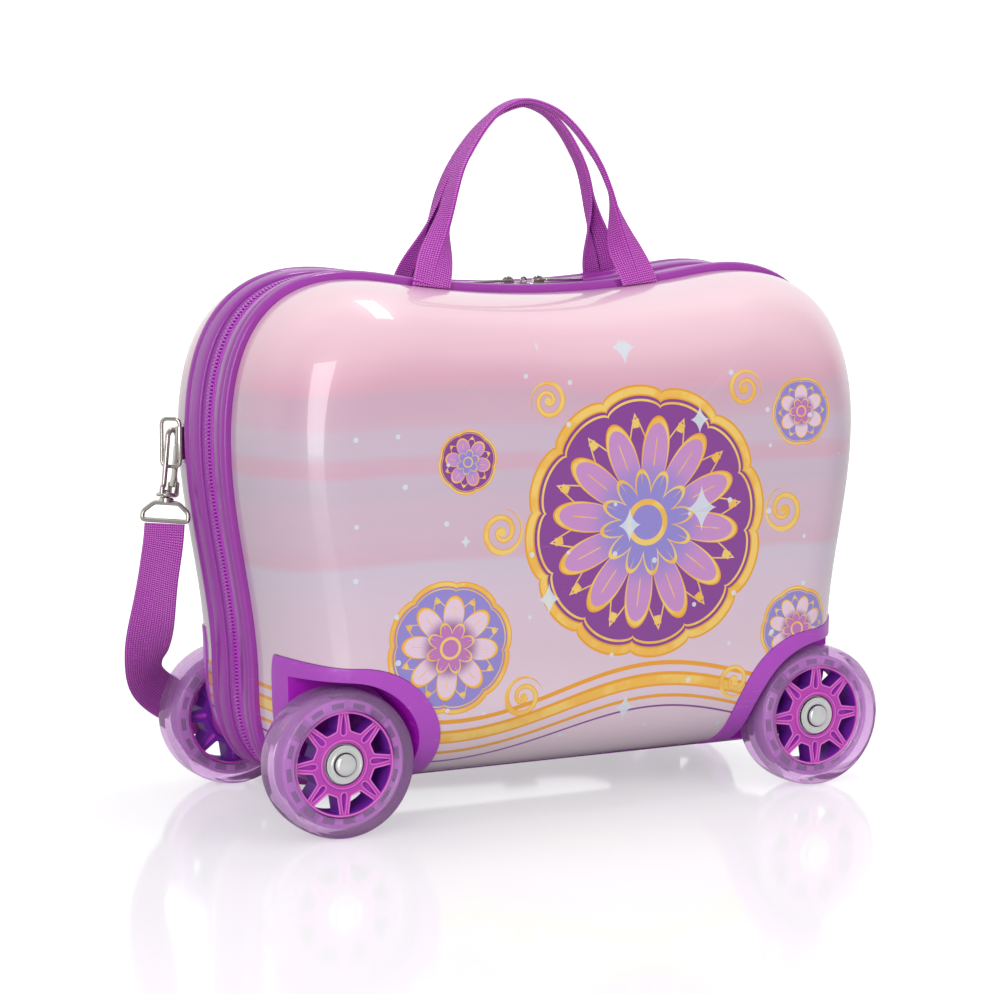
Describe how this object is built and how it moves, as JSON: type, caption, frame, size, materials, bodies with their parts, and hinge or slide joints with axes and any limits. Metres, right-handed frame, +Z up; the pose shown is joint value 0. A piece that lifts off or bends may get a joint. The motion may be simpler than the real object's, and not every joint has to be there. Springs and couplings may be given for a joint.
{
  "type": "ride-on kids suitcase",
  "caption": "Ride-on suitcase for a small child: two glossy printed half shells on moulded rims with a zip, webbing handles, strap and wheels in corner housings.",
  "frame": {"origin": "on the floor under the middle of the case", "axes": "+X along the case to its right end, +Y from the front half to the back half, +Z up"},
  "size_m": [0.4304, 0.2129, 0.3861],
  "materials": {
    "printed_shell": "glossy printed film",
    "rim_plastic": "glossy moulded",
    "housing_plastic": "satin moulded",
    "zip_tape": "woven tape with coil",
    "webbing": "woven webbing",
    "lining_cloth": "thin woven cloth",
    "tyre_clear": "translucent, glossy",
    "light_ring": "clear moulded",
    "hub_plastic": "glossy moulded",
    "bright_metal": "bright nickel",
    "bearing_steel": "turned steel"
  },
  "bodies": {
    "case_back": {"back_shell": "printed_shell", "back_rim": "rim_plastic", "back_lining": "lining_cloth", "zip_half_back": "zip_tape", "hinge_pin_left": "bearing_steel", "hinge_pin_right": "bearing_steel", "housing_back_left": "housing_plastic", "axle_bolt_back_left": "bright_metal", "axle_washer_back_left": "bright_metal", "axle_nut_back_left": "bearing_steel", "housing_back_right": "housing_plastic", "axle_bolt_back_right": "bright_metal", "axle_washer_back_right": "bright_metal", "axle_nut_back_right": "bearing_steel", "ring_plate_left": "bright_metal", "ring_plate_right": "bright_metal", "swivel_loop_left": "bright_metal", "swivel_loop_right": "bright_metal", "tow_strap": "webbing", "strap_adjuster": "bright_metal"},
    "lid": {"front_shell": "printed_shell", "front_rim": "rim_plastic", "front_lining": "lining_cloth", "zip_half_front": "zip_tape", "housing_front_left": "housing_plastic", "axle_bolt_front_left": "bright_metal", "axle_washer_front_left": "bright_metal", "axle_nut_front_left": "bearing_steel", "housing_front_right": "housing_plastic", "axle_bolt_front_right": "bright_metal", "axle_washer_front_right": "bright_metal", "axle_nut_front_right": "bearing_steel"},
    "wheel_front_left": {"tyre_front_left": "tyre_clear", "light_ring_front_left": "light_ring", "hub_front_left": "hub_plastic", "bearing_front_left": "bearing_steel"},
    "wheel_front_right": {"tyre_front_right": "tyre_clear", "light_ring_front_right": "light_ring", "hub_front_right": "hub_plastic", "bearing_front_right": "bearing_steel"},
    "wheel_back_left": {"tyre_back_left": "tyre_clear", "light_ring_back_left": "light_ring", "hub_back_left": "hub_plastic", "bearing_back_left": "bearing_steel"},
    "wheel_back_right": {"tyre_back_right": "tyre_clear", "light_ring_back_right": "light_ring", "hub_back_right": "hub_plastic", "bearing_back_right": "bearing_steel"},
    "slider_left": {"zip_slider_left": "bright_metal"},
    "pull_left": {"zip_pull_left": "bright_metal"},
    "ring_left": {"strap_ring_left": "bright_metal"},
    "hook_left": {"snap_hook_left": "bright_metal"},
    "gate_left": {"snap_gate_left": "bright_metal"},
    "slider_right": {"zip_slider_right": "bright_metal"},
    "pull_right": {"zip_pull_right": "bright_metal"},
    "ring_right": {"strap_ring_right": "bright_metal"},
    "hook_right": {"snap_hook_right": "bright_metal"},
    "gate_right": {"snap_gate_right": "bright_metal"},
    "handle_front": {"handle_front": "webbing"},
    "handle_back": {"handle_back": "webbing"}
  },
  "joints": [
    {"name": "lid_hinge", "type": "hinge", "parent": "case_back", "child": "lid", "pos_m": [0, 0, 0.0154], "axis": [1, 0, 0], "range_deg": [0, 120]},
    {"name": "wheel_front_left_spin", "type": "hinge", "parent": "lid", "child": "wheel_front_left", "pos_m": [-0.1459, -0.0755, 0.04], "axis": [0, 1, 0], "continuous": true},
    {"name": "wheel_front_right_spin", "type": "hinge", "parent": "lid", "child": "wheel_front_right", "pos_m": [0.1459, -0.0755, 0.04], "axis": [0, 1, 0], "continuous": true},
    {"name": "wheel_back_left_spin", "type": "hinge", "parent": "case_back", "child": "wheel_back_left", "pos_m": [-0.1459, 0.0755, 0.04], "axis": [0, 1, 0], "continuous": true},
    {"name": "wheel_back_right_spin", "type": "hinge", "parent": "case_back", "child": "wheel_back_right", "pos_m": [0.1459, 0.0755, 0.04], "axis": [0, 1, 0], "continuous": true},
    {"name": "slider_left_run", "type": "hinge", "parent": "case_back", "child": "slider_left", "pos_m": [0, 0, 0.88], "axis": [0, 1, 0], "range_deg": [0, 6.1]},
    {"name": "slider_right_run", "type": "hinge", "parent": "case_back", "child": "slider_right", "pos_m": [0, 0, 0.88], "axis": [0, 1, 0], "range_deg": [-5.6, 0]},
    {"name": "pull_left_flip", "type": "hinge", "parent": "slider_left", "child": "pull_left", "pos_m": [-0.00694, 0, 0.28544], "axis": [0, 1, 0], "range_deg": [0, 140]},
    {"name": "pull_right_flip", "type": "hinge", "parent": "slider_right", "child": "pull_right", "pos_m": [0.01189, 0, 0.28552], "axis": [0, 1, 0], "range_deg": [-140, 0]},
    {"name": "handle_front_fold", "type": "hinge", "parent": "lid", "child": "handle_front", "pos_m": [0, -0.0326, 0.28658], "axis": [1, 0, 0], "range_deg": [0, 85]},
    {"name": "handle_back_fold", "type": "hinge", "parent": "case_back", "child": "handle_back", "pos_m": [0, 0.0326, 0.28658], "axis": [1, 0, 0], "range_deg": [-85, 0]},
    {"name": "ring_left_swing", "type": "hinge", "parent": "case_back", "child": "ring_left", "pos_m": [-0.1908, 0.0315, 0.2], "axis": [0, 0, 1], "range_deg": [-7, 0]},
    {"name": "hook_left_swivel", "type": "hinge", "parent": "case_back", "child": "hook_left", "pos_m": [-0.19809, 0.0338, 0.16869], "axis": [0.1378, 0.1083, 0.9845], "range_deg": [-5, 25]},
    {"name": "gate_left_open", "type": "hinge", "parent": "hook_left", "child": "gate_left", "pos_m": [-0.19253, 0.03724, 0.17667], "axis": [-0.4998, 0.8657, -0.0253], "range_deg": [-12, 0], "stiffness_Nm_per_rad": 0.05, "springref_deg": 11.46},
    {"name": "ring_right_swing", "type": "hinge", "parent": "case_back", "child": "ring_right", "pos_m": [0.1908, 0.0315, 0.2], "axis": [0, 0, 1], "range_deg": [0, 7]},
    {"name": "hook_right_swivel", "type": "hinge", "parent": "case_back", "child": "hook_right", "pos_m": [0.19809, 0.0338, 0.16869], "axis": [-0.1378, 0.1083, 0.9845], "range_deg": [-25, 5]},
    {"name": "gate_right_open", "type": "hinge", "parent": "hook_right", "child": "gate_right", "pos_m": [0.19253, 0.03724, 0.17667], "axis": [0.4998, 0.8657, -0.0253], "range_deg": [0, 12], "stiffness_Nm_per_rad": 0.05, "springref_deg": -11.46}
  ]
}
